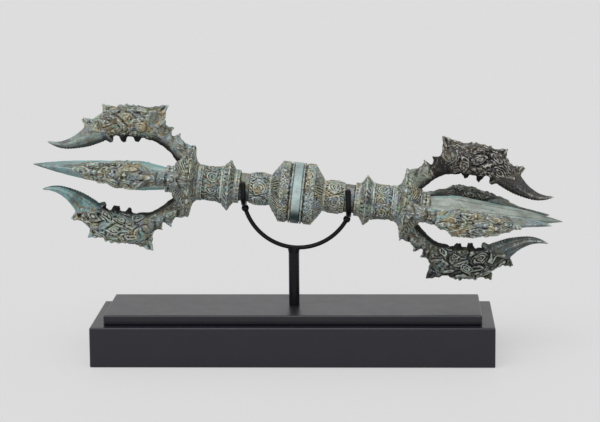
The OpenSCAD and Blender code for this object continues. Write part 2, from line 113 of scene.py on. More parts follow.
# Spurs of a prong: two places at the foot and one at the point, each a station and a share of the
# half thickness there, then half the width across at the foot, the share by which its flanks are
# hollow, and the rounding of its point
SPURS = [
    ([1.0, 0.62], [1.6, 0.60], [1.4, 1.56], 4.6, 0.45, 0.7),
    ([2.0, 0.60], [2.6, 0.62], [2.3, 1.42], 4.6, 0.45, 0.7),
    ([3.0, 0.62], [4.4, 0.74], [3.45, 1.80], 6.4, 0.66, 0.7),
    ([6.0, 0.78], [7.05, 0.70], [6.8, 1.46], 4.8, 0.35, 0.7),
    ([7.6, 0.74], [8.5, 0.68], [8.35, 1.58], 3.8, 0.25, 1.1),
]
SPUR_FOOT_R = 1.9
SPUR_REACH = 0.7  # how far a spur's point stands out further, to make up for the smoothing
SPUR_TAPER = (1.12, 1.05)  # powers by which a spur narrows along the prong and across it
# Teeth on the inside of a head, each a station and a share of the half thickness there
TEETH = [(4.45, -1.10), (6.0, -1.19), (7.5, -1.14)]
# Balls of a tooth: the share of its reach, half the width across and half the length
TOOTH_BALLS = [(0.80, 4.2, 3.9), (0.92, 3.6, 3.2), (1.02, 2.8, 2.4)]
TOOTH_BALL_R = 1.9
# Carved forms on both flanks of a head: two places, and the rounding as a share of HEAD_T
BROW = ((4.4, 0.58), (6.3, 0.56), 0.085)
EYE = ((5.2, 0.12), (5.5, 0.12), 0.13)
LIP = ((7.2, -0.46), (8.3, 0.34), 0.07)
JAW = ((4.1, -0.36), (4.3, -0.36), 0.16)
FLANK_H = 0.8  # how far they stand out, less than on the solids, because they are carved over
# Bumps on a head's crest: stations, then from least to greatest how far one strays along, its share of
# the half thickness, its distance from the middle plane and its radius
CREST_T = np.arange(4.1, 6.1, 0.3)
CREST_RANGES = [(-0.08, 0.08), (0.78, 0.9), (1.8, 3.4), (1.1, 1.6)]
CREST_DROP = 0.09  # share by which the body lies lower under them

# Where the carving of a prong's parts sets in, from none to all: in stations, in stations past the lip
# for the head's end and the claw, and in half thicknesses for the spurs
HEAD_FROM = (2.7, 3.4)
HEAD_TO = (0.1, -0.2)
TRUNK_FROM = (3.3, 2.7)
CLAW_FROM = (0.0, 0.25)
SPURS_FROM = (1.04, 1.2)
LIP_T = 7.85  # station of the lip on the flank
LIP_SLANT = 0.8  # how many stations further on it lies on the outside

# Carving, in millimetres
LINE_POWER = 0.7  # the grooves between lines are sharper with a lower power
PRONG_LINE_POWER = 1.3
LEAF_LOW, LEAF_HIGH = (0, -20), (110, 20)  # corners of the field of leaves, along and round a prong
LEAF_SPACING = 7.2
LEAF_STRETCH = 2.4  # length over width
LEAF_SLANT = 0.35
LEAF_EDGE = 1.4  # how far in from its border a leaf is rounded
COILED_LEAVES = 4  # one leaf in so many is coiled
SWAY, SWAY_L = 0.9, 6  # how far leaves and lines sway, and over what length
DOME_H = 1.15
LINE_H = 0.85
HOLLOW_H = 0.8
EYE_R = 4.1
EYE_STRETCH = 1.5
EYE_SLANT = 0.2
JAW_R = 3.9
JAW_STRETCH = 1.3
BORDER_W = 0.6  # soft border of an eye or a jaw
SOCKET_R = 4.3  # radius of the groove round an eye or a jaw
EAR_HALF = (4.6, 6.5)  # half an ear's length and width
EAR_RAYS = 3.2  # rays in an ear for each radian
EAR_ROOT = -8  # place round the prong where they meet
SPUR_PITCH = 2.8  # spacing of the lines across spurs
NICK_PITCH = 1.9  # spacing of the nicks on a claw's inner edge
STREAK_SHARE = 0.35  # how wide streaks are for their length
SCALLOPS = [(0.85, 0.14), (1.86, 0.16), (2.83, 0.15)]  # stations and widths of a trunk's edges
# Places on a flank, each a station and a share of the half thickness there
EAR_AT = (3.5, 0.62)
HORN_AT = (7.0, 0.8)
CHEEK_AT = (5.6, -0.5)

# The prongs: the turn round the axis in degrees, then from 0 to 1 how dark the head and the trunk are and
# how green the foot, the head and the claw are, then how deep the carving is and how much wear shows.
# The right bottom prong faces down and the right back prong lies behind the others: their darkness is
# partly painted shade and partly darker patina.
PRONGS = {
    ("left", "top"): (0, 0, 0, 0, 0.05, 0.08, 0.7, 0.8),
    ("left", "front"): (-90, 0.12, 0, -0.15, 0.04, 0.22, 0.85, 1),
    ("left", "bottom"): (180, 0, 0, 0, 0.13, 0.3, 1, 1.15),
    ("left", "back"): (90, 0.2, 0.2, 0, 0.05, 0.15, 0.85, 1),
    ("right", "top"): (180, 0.12, 0.8, 0.5, 0, 0, 1, 1.2),
    ("right", "front"): (-90, 0.08, 0, -0.2, 0.04, 0.12, 0.8, 1),
    ("right", "bottom"): (0, 0.8, 0.62, 0.1, 0.04, 0.14, 1.5, 1.7),
    ("right", "back"): (90, 0.92, 0.9, 0, 0, 0.1, 1, 1.1),
}
DARK_PRONG = ("right", "top")  # the one in the dark patina
# How dark and how green the pieces of the handle are, from 0 to 1
HANDLE_TONES = {
    "left": {"globe": (0.2, 0.06), "neck": (0.1, 0.08), "collar": (0.1, 0.12), "drum": (0.28, 0.16),
             "crown": (0.1, 0.04), "ring": (0.1, 0.05)},
    "right": {"globe": (0.05, 0.04), "neck": (0.0, 0.0), "collar": (0.1, 0.08), "drum": (0.0, 0.05),
              "crown": (0.0, 0.0), "ring": (0.1, 0.02)},
}
HANDLE_WEAR = 1.25  # how much wear shows on the handle
# How many ornaments of a kind lie round the handle, and how far two of its pieces are turned
GLOBE_SCROLLS = 12
GLOBE_PETALS = 8
NECK_WHIRLS = 6
STEP_BEADS = 28
COLLAR_LEAVES = 28
DRUM_WHIRLS = 8
CROWN_LOBES = 8
CROWN_PEARLS = 40
RING_BEADS = 18
NECK_CLOCK = TAU / 24
DRUM_CLOCK = 0.2
GRAIN = 0.43  # spacing of the turned pieces' points
PRONG_GRAIN = 0.40  # spacing of the prongs' points
LINE_PITCH = 1.7  # spacing of the turned pieces' carved lines
PRONG_PITCH = 1.4  # spacing of the prongs' carved lines
JAW_PITCH = 1.2 * PRONG_PITCH  # spacing of a jaw's coil
RELIEF_ROUNDS = 14  # rounds of smoothing that give a point's surroundings
RELIEF_GAIN = 1.2  # relief for each millimetre that it stands out from them


# Fields

def ramp(x, low, high):
    """0 at low and 1 at high, with a smooth rise between, either way round."""
    f = np.clip((x - low) / (high - low), 0, 1)
    return f * f * (3 - 2 * f)


def lumps(points, size, seed):
    """Smooth noise from about -1 to 1, with lumps of the given size."""
    rng = np.random.default_rng(seed)
    table = rng.permutation(256)
    slopes = rng.normal(size=(256, 3))
    slopes /= np.linalg.norm(slopes, axis=1)[:, None]
    q = points / size
    cell = np.floor(q).astype(int)
    f = q - cell
    fade = f * f * f * (f * (f * 6 - 15) + 10)
    total = np.zeros(len(points))
    for corner in np.ndindex(2, 2, 2):
        c = cell + corner
        key = table[(table[(table[c[:, 0] & 255] + c[:, 1]) & 255] + c[:, 2]) & 255]
        value = (slopes[key] * (f - corner)).sum(1)
        total += value * np.where(corner, fade, 1 - fade).prod(1)
    return 1.6 * total


def nearest(du, dw):
    """From offsets to seeds: the nearest seed, the distances to it and to the next one, and the turn round
    it, from -0.5 to 0.5, one way round for odd seeds and the other for even ones."""
    far = np.hypot(du, dw)
    rows = np.arange(len(far))
    near = far.argmin(1)
    first = far[rows, near]
    far[rows, near] = np.inf
    hand = np.where(near % 2, 1, -1)
    return near, first, far.min(1), hand * np.arctan2(dw[rows, near], du[rows, near]) / TAU


def scrolls(u, w, seeds):
    """Scrollwork: round each seed a spiral winds out as far as its neighbours let it.

    Seeds are two places and a share of LINE_PITCH. Returns the spirals' height and the groove between
    neighbours, both from 0 to 1.
    """
    near, first, second, turn = nearest(u[:, None] - seeds[:, 0], w[:, None] - seeds[:, 1])
    coil = lined(first / (LINE_PITCH * seeds[near, 2]) - turn)
    return coil, 1 - ramp(second - first, 0, 0.8 * LINE_PITCH)


def panels(u, w, seeds, stretch):
    """Leaf-shaped panels round seeds, longer along u: how far places lie from their panel's border, and
    a field whose whole steps are lines in the panel, coiled in some panels and nested in the others."""
    near, first, second, turn = nearest((u[:, None] - seeds[:, 0]) / stretch, w[:, None] - seeds[:, 1])
    border = (second - first) / 2
    coil = first - turn * PRONG_PITCH
    return border, np.where(near % COILED_LEAVES == 0, coil, border) / PRONG_PITCH


def lined(field, power=LINE_POWER):
    """Rounded lines with grooves between, one for each whole step: their height, from 0 to 1."""
    return np.abs(np.cos(math.pi * field)) ** power


def veins(points, size, seed):
    """A net of winding ridges, with meshes of the given size: their height, from 0 to 1."""
    return np.clip(1 - 2.4 * np.abs(lumps(points, size, seed)), 0, 1)


def ridge(distance, wide):
    """1 on a line and 0 away from it."""
    return np.exp(-(distance / wide) ** 2)


def from_line(u, w, a, b):
    """How far places lie from a straight line between two places."""
    run = np.subtract(b, a)
    f = np.clip(((u - a[0]) * run[0] + (w - a[1]) * run[1]) / (run @ run), 0, 1)
    return np.hypot(u - a[0] - f * run[0], w - a[1] - f * run[1])


def petals(phi, along, count, lines):
    """Lotus petals round a ring, from their feet at along 0 to their points at 1, with nested lines."""
    across = 2 * np.abs((phi * count / TAU) % 1 - 0.5)
    width = np.sqrt(np.clip(1 - along ** 2, 0, 1))
    q = across / np.maximum(width, 0.05)
    line = 0.5 + 0.5 * np.cos(TAU * lines * np.minimum(q, 1))
    return ramp(q, 1.1, 0.9) * (0.4 + 0.6 * line)


# Meshes

def curve(table, t):
    """A smooth line through the rows of a table, at stations that need not be whole."""
    t = np.asarray(t, float)
    last = len(table) - 1
    i = np.clip(np.floor(t), 0, last - 1).astype(int)
    f = (t - i)[:, None]
    a, b, c, d = (table[np.clip(i + k, 0, last)] for k in (-1, 0, 1, 2))
    return (b + (c - a) * f / 2 + (2 * a - 5 * b + 4 * c - d) * f ** 2 / 2
            + (3 * b - a - 3 * c + d) * f ** 3 / 2)


def faces_between(count, sides, gaps):
    """Faces in the gaps between rings of points. The last gap may lead back to the first ring."""
    i, k = np.meshgrid(np.arange(gaps), np.arange(sides), indexing="ij")
    a, b = i * sides + k, i * sides + (k + 1) % sides
    next_a, next_b = (a + sides) % (count * sides), (b + sides) % (count * sides)
    return np.stack([a, b, next_b, next_a], -1).reshape(-1, 4).tolist()


def skin(rings):
    """A closed skin over rings of points, with flat ends: points and faces."""
    count, sides, _ = rings.shape
    faces = faces_between(count, sides, count - 1)
    faces.append(list(range(sides - 1, -1, -1)))
    faces.append(list(range((count - 1) * sides, count * sides)))
    return rings.reshape(-1, 3), faces


def ball(middle, radii, sides=16):
    """A closed ball with its own radius along each axis."""
    up = np.linspace(-0.98, 0.98, sides // 2) * math.pi / 2
    a = np.arange(sides) * TAU / sides
    rings = np.stack([
        np.outer(np.cos(up), np.cos(a)),
        np.outer(np.cos(up), np.sin(a)),
        np.outer(np.sin(up), np.ones(sides)),
    ], -1)
    return skin(np.array(middle) + rings * radii)


def as_mesh(name, points, faces):
    mesh = bpy.data.meshes.new(name)
    mesh.from_pydata(points.tolist(), [], faces)
    mesh.update()
    return mesh


def fused(shells, grain):
    """One even skin round several closed shells: its points and faces."""
    points, faces, start = [], [], 0
    for shell_points, shell_faces in shells:
        points.append(shell_points)
        faces += [[start + k for k in face] for face in shell_faces]
        start += len(shell_points)
    holder = bpy.data.objects.new("fusing", as_mesh("fusing", np.concatenate(points), faces))
    scene.collection.objects.link(holder)
    remesh = holder.modifiers.new("skin", "REMESH")
    remesh.mode = "VOXEL"
    remesh.voxel_size = grain
    made = holder.evaluated_get(bpy.context.evaluated_depsgraph_get()).to_mesh()
    co = np.empty(len(made.vertices) * 3)
    made.vertices.foreach_get("co", co)
    quads = [list(p.vertices) for p in made.polygons]
    holder.to_mesh_clear()
    mesh = holder.data
    bpy.data.objects.remove(holder)
    bpy.data.meshes.remove(mesh)
    return co.reshape(-1, 3), quads


class Surface:
    """Points and faces with what is needed to smooth and carve them."""

    def __init__(self, points, faces):
        self.points = points
        self.faces = faces
        self.edges = self.measured("edges", "vertices", 2, int)
        self.degree = np.maximum(np.bincount(self.edges.ravel(), minlength=len(points)), 1)[:, None]

    def measured(self, group, key, width, kind=float):
        """What Blender says of all points or edges, in rows of the given width."""
        mesh = as_mesh("measuring", self.points, self.faces)
        items = getattr(mesh, group)
        values = np.empty(len(items) * width, kind)
        items.foreach_get(key, values)
        bpy.data.meshes.remove(mesh)
        return values.reshape(-1, width)

    def smoothed(self, values, rounds):
        """Values of the points, each drawn towards its neighbours' mean that many times."""
        a, b = self.edges.T
        n = len(self.points)
        for _ in range(rounds):
            total = np.stack([
                np.bincount(a, v[b], n) + np.bincount(b, v[a], n) for v in values.T
            ], 1)
            values = 0.5 * values + 0.5 * total / self.degree
        return values

    def normals(self):
        return self.measured("vertices", "normal", 3)

    def carve(self, height):
        """Moves each point out by its height."""
        self.points = self.points + self.normals() * height[:, None]

    def relief(self, wear):
        """How far each point stands out from its surroundings: 0 in a hollow, 1 on a ridge."""
        around = self.smoothed(self.points, RELIEF_ROUNDS)
        out = ((self.points - around) * self.normals()).sum(1)
        return np.clip(0.5 + RELIEF_GAIN * wear * out, 0, 1)


# Placing

REACH_ROOM = 0.3  # how far inside its node's reach a carved piece stays


def half_turn(node):
    """The turn from the frame of a node's half of the vajra into the whole's. The middle is in the right."""
    angle = TILT - math.pi / 2 if "left" in node else TILT + math.pi / 2
    c, s = math.cos(angle), math.sin(angle)
    return np.array([[c, 0, s], [0, 1, 0], [-s, 0, c]])


def about_axis(angle):
    c, s = math.cos(angle), math.sin(angle)
    return np.array([[c, -s, 0], [s, c, 0], [0, 0, 1]])


def axial(node):
    """Where a node of the vajra starts and ends along its half, and its greatest radius."""
    co = np.array([v.co for v in frame["nodes"][node].data.vertices]) / MM
    local = (co - CENTRE) @ half_turn(node)
    return local[:, 2].min(), local[:, 2].max(), np.hypot(local[:, 0], local[:, 1]).max()


def add(node, surface, turn, material, slot, inner=0.0, tint=0.0, calm=0.0, wear=1.0, kind="carved"):
    """Adds a carved piece of the vajra in place of a node, no larger than the node.

    inner darkens the piece, partly as darker patina and partly as painted shade, tint gives it more verdigris and
    calm makes it plainer, all from 0 to 1.
    wear sets how strongly hollows are dark and ridges pale.
    """
    name = f"{kind}_{node}"
    z0, z1, reach = axial(node)
    points = surface.points.copy()
    points[:, :2] *= np.minimum(1, (reach - REACH_ROOM) / np.hypot(*points[:, :2].T))[:, None]
    points[:, 2] = np.clip(points[:, 2], z0, z1)
    points = points @ about_axis(turn).T @ half_turn(node).T + CENTRE
    points = np.clip(points * MM, *cad_box)
    mesh = as_mesh(name, points, surface.faces)
    relief = surface.relief(wear)
    for label, values in (("relief", relief), ("inner", inner), ("tint", tint), ("calm", calm)):
        attribute = mesh.attributes.new(label, "FLOAT", "POINT")
        attribute.data.foreach_set("value", np.broadcast_to(values, len(points)).astype(np.float32))
    mesh.shade_smooth()
    mesh.materials.append(material)
    piece = bpy.data.objects.new(name, mesh)
    scene.collection.objects.link(piece)
    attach(piece, "vajra")
    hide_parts(node)


# Materials

METAL_SHARE = 0.15  # how much of the metal shows through the patina


class Tree:
    """Short ways to make nodes."""

    def __init__(self, tree):
        self.tree = tree

    def link(self, a, b):
        self.tree.links.new(a, b)

    def fill(self, node, **inputs):
        """Links inputs of a node to sockets, or sets them to values."""
        for key, value in inputs.items():
            socket = node.inputs[key.replace("_", " ")]
            if isinstance(value, bpy.types.NodeSocket):
                self.link(value, socket)
            else:
                socket.default_value = value

    def new(self, kind, **inputs):
        node = self.tree.nodes.new("ShaderNode" + kind)
        self.fill(node, **inputs)
        return node

    def joined(self, operation, a, b):
        node = self.new("Math")
        node.operation = operation
        self.link(a, node.inputs[0])
        self.link(b, node.inputs[1])
        return node.outputs[0]


class Nodes(Tree):
    """The nodes of one material."""

    def __init__(self, name):
        self.material = bpy.data.materials.new(name)
        self.material.use_nodes = True
        super().__init__(self.material.node_tree)
        self.shader = self.tree.nodes["Principled BSDF"]
        self.place = self.new("TexCoord").outputs["Object"]

    def noise(self, size_mm, detail, seed):
        node = self.new("TexNoise")
        node.noise_dimensions = "4D"
        self.fill(node, Vector=self.place, W=seed, Scale=1 / (size_mm * MM), Detail=detail)
        return node.outputs["Fac"]

    def attribute(self, name):
        node = self.new("Attribute")
        node.attribute_name = name
        return node.outputs["Fac"]

    def ramp(self, value, low, high, start=0.0, end=1.0):
        node = self.new("MapRange", Value=value, From_Min=low, From_Max=high, To_Min=start, To_Max=end)
        node.interpolation_type = "SMOOTHSTEP"
        return node.outputs["Result"]

    def times(self, a, b):
        return self.joined("MULTIPLY", a, b)

    def plus(self, a, b):
        return self.joined("ADD", a, b)

    def mix(self, share, a, b):
        node = self.new("Mix")
        node.data_type = "RGBA"
        self.link(share, node.inputs["Factor"])
        for key, colour in (("A", a), ("B", b)):
            socket = next(s for s in node.inputs if s.name == key and s.type == "RGBA")
            if isinstance(colour, tuple):
                socket.default_value = (*colour, 1)
            else:
                self.link(colour, socket)
        return next(s for s in node.outputs if s.type == "RGBA")

    def bump(self, height, depth_mm, strength):
        node = self.new("Bump", Strength=strength, Distance=depth_mm * MM, Height=height)
        self.fill(self.shader, Normal=node.outputs["Normal"])

    def finish(self, colour, roughness, **sockets):
        self.fill(self.shader, Base_Color=colour, Roughness=roughness, **sockets)
        return self.material


def patina(name, seed, brown, green, slate, teal, pale, rust, hollow):
    """Bronze under a patina: brown, green and slate in patches, verdigris in spots, ochre in shallow
    grooves, dark hollows, pale ridges that are partly wear and partly painted highlight, a gritty skin,
    and darkening where inner says so, partly darker patina and partly painted shade."""
    n = Nodes(name)
    relief, inner, tint = n.attribute("relief"), n.attribute("inner"), n.attribute("tint")
    calm = n.attribute("calm")
    busy = n.ramp(calm, 0, 1, 1, 0.5)
    base = n.mix(n.ramp(n.noise(11, 3, seed), 0.42, 0.58), brown, green)
    base = n.mix(n.ramp(n.noise(7, 3, seed + 1), 0.44, 0.56), base, slate)
    base = n.mix(n.ramp(n.noise(4.5, 4, seed + 2), 0.54, 0.68, 0, 0.6), base, rust)
    plain = n.mix(n.ramp(n.noise(14, 2, seed + 13), 0.45, 0.68), slate, green)
    base = n.mix(n.ramp(calm, 0, 1, 0, 0.8), base, plain)
    base = n.mix(n.ramp(n.plus(tint, n.noise(5, 4, seed + 3)), 0.60, 0.84, 0, 0.9), base, teal)
    base = n.mix(n.ramp(n.noise(10, 3, seed + 11), 0.48, 0.62, 0, 0.55), base, hollow)
    rusty = n.times(n.ramp(relief, 0.55, 0.44, 0, 0.9), n.ramp(n.noise(9, 2, seed + 12), 0.40, 0.56))
    base = n.mix(rusty, base, rust)
    # inner pulls the colour towards the hollow colour: partly darker patina, partly painted shade on insides and
    # undersides
    base = n.mix(n.times(inner, n.ramp(n.noise(6, 3, seed + 4), 0.2, 0.5, 0.7, 1)), base, hollow)
    open_side = n.ramp(inner, 0.95, 0.5)
    # Pale on raised lines: partly wear, partly a painted highlight
    worn = n.times(n.ramp(relief, 0.56, 0.80), n.ramp(n.noise(4, 3, seed + 9), 0.38, 0.60, 0.15, 0.95))
    worn = n.times(worn, n.ramp(relief, 0.85, 1.0, 1, 0.5))
    base = n.mix(n.times(worn, open_side), base, pale)
    filled = n.times(n.ramp(relief, 0.46, 0.24), n.ramp(n.noise(4, 3, seed + 10), 0.3, 0.6, 0.75, 1))
    base = n.mix(filled, base, hollow)
    pits = n.times(n.ramp(n.noise(1.3, 2, seed + 5), 0.56, 0.66, 0, 0.6), busy)
    base = n.mix(pits, base, hollow)
    specks = n.times(n.ramp(n.noise(1.3, 2, seed + 6), 0.58, 0.68, 0, 0.4), open_side)
    base = n.mix(n.times(specks, busy), base, pale)
    roughness = n.ramp(n.noise(4, 3, seed + 7), 0.3, 0.7, 0.38, 0.62)
    n.bump(n.noise(1.0, 4, seed + 8), 0.3, 0.5)
    return n.finish(base, roughness, Metallic=METAL_SHARE, Specular_IOR_Level=0.2)


OCHRE = (0.26, 0.195, 0.10)
bronze = patina(
    "patina_bronze", 1.0, brown=(0.36, 0.305, 0.18), green=(0.30, 0.39, 0.30), slate=(0.25, 0.295, 0.325),
    teal=(0.22, 0.44, 0.46), pale=(0.62, 0.68, 0.61), rust=OCHRE, hollow=(0.014, 0.015, 0.013))
dark_bronze = patina(
    "dark_patina", 21.0, brown=(0.066, 0.060, 0.050), green=(0.080, 0.080, 0.072),
    slate=(0.072, 0.072, 0.080), teal=(0.27, 0.31, 0.26), pale=(0.57, 0.55, 0.49), rust=(0.13, 0.10, 0.055),
    hollow=(0.006, 0.006, 0.006))


def smooth_patina(name, seed, ground, cool, dark):
    """Worn patina with broad soft patches, verdigris where tint says so, and few pits."""
    n = Nodes(name)
    relief, inner, tint = n.attribute("relief"), n.attribute("inner"), n.attribute("tint")
    base = n.mix(n.ramp(n.noise(5, 4, seed), 0.42, 0.62), ground, tuple(0.78 * c for c in ground))
    base = n.mix(n.ramp(n.plus(tint, n.noise(7, 4, seed + 1)), 0.60, 1.05), base, cool)
    base = n.mix(n.ramp(relief, 0.46, 0.25, 0, 0.8), base, dark)
    base = n.mix(n.ramp(n.noise(2.2, 3, seed + 2), 0.62, 0.74, 0, 0.6), base, OCHRE)
    # inner darkens it: on the band this is painted shade, on the spikes it is streaks and a darker tip
    base = n.mix(n.times(inner, n.ramp(n.noise(6, 3, seed + 3), 0.2, 0.6, 0.7, 1)), base, dark)
    base = n.mix(n.ramp(n.noise(1.3, 2, seed + 4), 0.62, 0.74, 0, 0.5), base, dark)
    n.bump(n.noise(1.2, 4, seed + 5), 0.2, 0.4)
    return n.finish(base, n.ramp(n.noise(5, 3, seed + 6), 0.3, 0.7, 0.35, 0.55), Metallic=METAL_SHARE)


band_bronze = smooth_patina(
    "band_patina", 11.0, ground=(0.53, 0.65, 0.63), cool=(0.41, 0.59, 0.59), dark=(0.018, 0.042, 0.042))
spike_bronze = smooth_patina(
    "spike_patina", 31.0, ground=(0.38, 0.43, 0.385), cool=(0.25, 0.46, 0.45), dark=(0.045, 0.050, 0.045))


# Prongs

BODY_RINGS, BODY_SIDES = 300, 72
SPUR_RINGS, SPUR_SIDES = 30, 36
SPINE_STEPS = 500  # points of the middle line from which places on a prong are measured
SKIN_ROUNDS = 2  # rounds of smoothing before a prong is carved


def spine(t):
    """Points of a prong's middle line, along the axis and out from it, and their outward directions."""
    z0, z1, rim_r = axial("crown_right")
    slope_z = z0 + FLARE_H + RIM_T
    seat = np.array([(slope_z + z1) / 2, (rim_r + HUB_R) / 2])
    scale = np.array([PRONG_L, PRONG_BOW])
    place = seat + curve(STATIONS, t)[:, :2] * scale
    step = 0.01
    d = (curve(STATIONS, t + step) - curve(STATIONS, t - step))[:, :2] * scale
    d /= np.linalg.norm(d, axis=1)[:, None]
    return place, np.stack([-d[:, 1], d[:, 0]], 1)


def half_sizes(t):
    shares = curve(STATIONS, t)
    return shares[:, 2] * HEAD_T / 2, shares[:, 3] * HEAD_W / 2


def prong_place(place):
    """A point of the prong's middle plane, along the axis and out from it."""
    t = np.array([place[0]])
    middle, outward = spine(t)
    return (middle + outward * half_sizes(t)[0][:, None] * place[1])[0]


def prong_body():
    """The prong's body: square-shouldered at the head, and four-edged at the claw."""
    t = np.linspace(0, len(STATIONS) - 1, BODY_RINGS)
    a = np.arange(BODY_SIDES) * TAU / BODY_SIDES
    middle, outward = spine(t)
    thick, wide = half_sizes(t)
    power = (2 / (SECTION_POWER + (CLAW_POWER - SECTION_POWER) * ramp(t, 7.6, 9.0)))[:, None]
    out = np.sign(np.sin(a)) * np.abs(np.sin(a)) ** power
    across = np.sign(np.cos(a)) * np.abs(np.cos(a)) ** power
    lowered = 1 - CREST_DROP * (ramp(t, 3.7, 4.2) * ramp(t, 6.4, 6.0))[:, None] * ramp(out, 0.5, 0.9)
    plane = middle[:, None] + outward[:, None] * (out * lowered * thick[:, None])[..., None]
    return skin(np.stack([plane[..., 1], across * wide[:, None], plane[..., 0]], -1))


def spur(foot_a, foot_b, point, wide, hollow, blunt):
    """A leaf-shaped spur with rimmed, hollow flanks, from two places at its foot to its point."""
    a, b, tip = (prong_place(p) for p in (foot_a, foot_b, point))
    foot = (a + b) / 2
    tip = tip + SPUR_REACH * (tip - foot) / np.linalg.norm(tip - foot)
    s = np.linspace(0, 1, SPUR_RINGS)[:, None]
    angle = np.arange(SPUR_SIDES) * TAU / SPUR_SIDES
    gap = np.linalg.norm(b - a)
    long = blunt + (gap / 2 + SPUR_FOOT_R - blunt) * (1 - s) ** SPUR_TAPER[0]
    broad = blunt + (wide - blunt) * (1 - s) ** SPUR_TAPER[1]
    pinch = 1 - hollow * ridge(np.cos(angle), 0.6) * ramp(s, 0.02, 0.3) * ramp(s, 1.0, 0.7)
    middle = foot * (1 - s) + tip * s
    plane = middle[:, None] + (long * np.cos(angle))[..., None] * (b - a) / gap
    return skin(np.stack([plane[..., 1], broad * np.sin(angle) * pinch, plane[..., 0]], -1))


def flank_place(place, sunk, side):
    """A point of a prong's flank, or a little under it."""
    share = (1 - abs(place[1]) ** SECTION_POWER) ** (1 / SECTION_POWER)
    z, r = prong_place(place)
    return np.array([r, side * (share * half_sizes(np.array([place[0]]))[1][0] - sunk), z])


def prong_shells():
    """The closed shells that a prong is fused from: body, spurs, crest, flanks' forms and teeth."""
    rng = np.random.default_rng(5)
    shells = [prong_body(), *(spur(*row) for row in SPURS)]
    for side in (-1, 1):
        for t in CREST_T:
            stray, share, aside, bump_r = (rng.uniform(*pair) for pair in CREST_RANGES)
            z, r = prong_place([t + stray, share])
            shells.append(ball([r, side * aside, z], bump_r))
        for a, b, share in (BROW, EYE, LIP, JAW):
            round_r = share * HEAD_T
            for f in np.linspace(0, 1, 9):
                place = np.add(a, f * np.subtract(b, a))
                shells.append(ball(flank_place(place, round_r - FLANK_H, side), round_r))
    for t, out in TEETH:
        for share, wide, long in TOOTH_BALLS:
            z, r = prong_place([t, out * share])
            shells.append(ball([r, 0, z], np.array([TOOTH_BALL_R, wide, long])))
    return shells


def prong_coordinates(points):
    """Of points near a prong: the station, the place along and round it in millimetres, the turn round
    it, from -1 on the inside through 0 on the flank to 1 on the outside, and the distance out from the
    middle line as a share of the half thickness."""
    t = np.linspace(0, len(STATIONS) - 1, SPINE_STEPS)
    middle, outward = spine(t)
    length = np.concatenate([[0], np.cumsum(np.linalg.norm(np.diff(middle, axis=0), axis=1))])
    plane = points[:, [2, 0]]
    near = np.concatenate([
        ((part[:, None] - middle) ** 2).sum(-1).argmin(1) for part in np.array_split(plane, 40)
    ])
    thick, wide = half_sizes(t)
    out = ((plane - middle[near]) * outward[near]).sum(1) / thick[near]
    turn = np.arctan2(out, np.abs(points[:, 1]) / wide[near])
    radius = (thick + wide)[near] / 2
    return t[near], length[near], turn * radius, turn / (math.pi / 2), out


def scattered(low, high, spacing, seed):
    """Seeds for panels, spread over a rectangle at about even spacing."""
    rng = np.random.default_rng(seed)
    found = []
    for p in rng.uniform(low, high, size=(1500, 2)):
        if all(math.dist(p, q) > spacing for q in found):
            found.append(p)
    return np.array(found)


def flank_mark(place):
    """A place on the flank, in millimetres along and round the prong."""
    _, along, around, _, _ = prong_coordinates(flank_place(place, 0, 1)[None])
    return along[0], around[0]


EYE_MARK = flank_mark(np.add(*EYE[:2]) / 2)
JAW_MARK = flank_mark(np.add(*JAW[:2]) / 2)
EAR_MARK = flank_mark(EAR_AT)
MOUTH_MARK = flank_mark(LIP[0])
HORN_MARK = flank_mark(HORN_AT)
CHEEK_MARK = flank_mark(CHEEK_AT)


class ProngPlaces:
    """Where points lie on a prong, and how much they belong to its head, trunk, claw and spurs."""

    def __init__(self, points, seed):
        self.points = points
        self.seed = seed
        self.t, self.along, around, self.turn, out = prong_coordinates(points)
        self.flow = np.stack([STREAK_SHARE * self.along, around, np.zeros_like(around)], 1)
        self.u = self.along + SWAY * self.lumps(SWAY_L, 1)
        self.w = around + SWAY * self.lumps(SWAY_L, 2)
        past_lip = self.t - LIP_T - LIP_SLANT * self.turn
        self.head = ramp(self.t, *HEAD_FROM) * ramp(past_lip, *HEAD_TO)
        self.trunk = ramp(self.t, *TRUNK_FROM)
        self.claw = ramp(past_lip, *CLAW_FROM)
        self.spurs = ramp(out, *SPURS_FROM)
        self.ear = np.hypot((self.u - EAR_MARK[0]) / EAR_HALF[0], (self.w - EAR_MARK[1]) / EAR_HALF[1])

    def lumps(self, size, layer):
        return lumps(self.points, size, self.seed + layer)

    def streaks(self, size, layer):
        """Lumps that are drawn out along the prong."""
        return lumps(self.flow, size, self.seed + layer)


